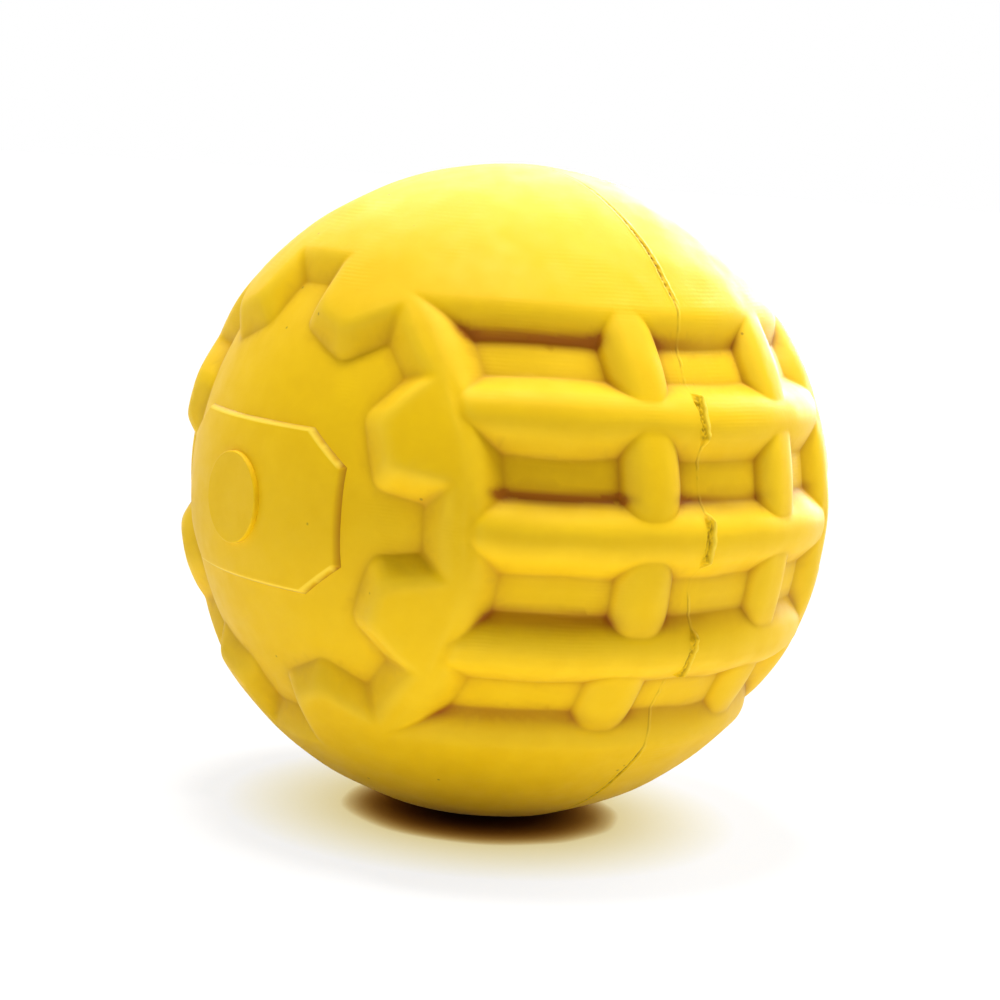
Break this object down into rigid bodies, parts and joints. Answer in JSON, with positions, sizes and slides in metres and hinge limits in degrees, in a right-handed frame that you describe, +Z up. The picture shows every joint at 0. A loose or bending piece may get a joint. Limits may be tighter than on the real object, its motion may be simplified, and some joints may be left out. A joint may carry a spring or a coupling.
{
  "type": "chew ball",
  "caption": "Hollow moulded rubber chew ball with smooth caps, ribbed treads at the sides, a toothed ring round a plain badge plate at each pole, and a bonded seam round the middle.",
  "frame": {"origin": "centre of the ball", "axes": "+Z up through a smooth cap, -Y out of the front badge plate and +Y out of the back one, +X and -X out of the two treads; the seam lies in the XZ plane"},
  "size_m": [0.0906, 0.0864, 0.0906],
  "materials": {
    "shell_rubber": "satin moulded natural rubber, yellow, with fine tool marks",
    "bond_rubber": "cured bonding rubber, matt",
    "flash_rubber": "trimmed flash, rough and matt"
  },
  "bodies": {
    "root": {"half_shell_front": "shell_rubber", "half_shell_back": "shell_rubber", "seam_bond": "bond_rubber", "seam_flash": "flash_rubber"}
  },
  "joints": []
}
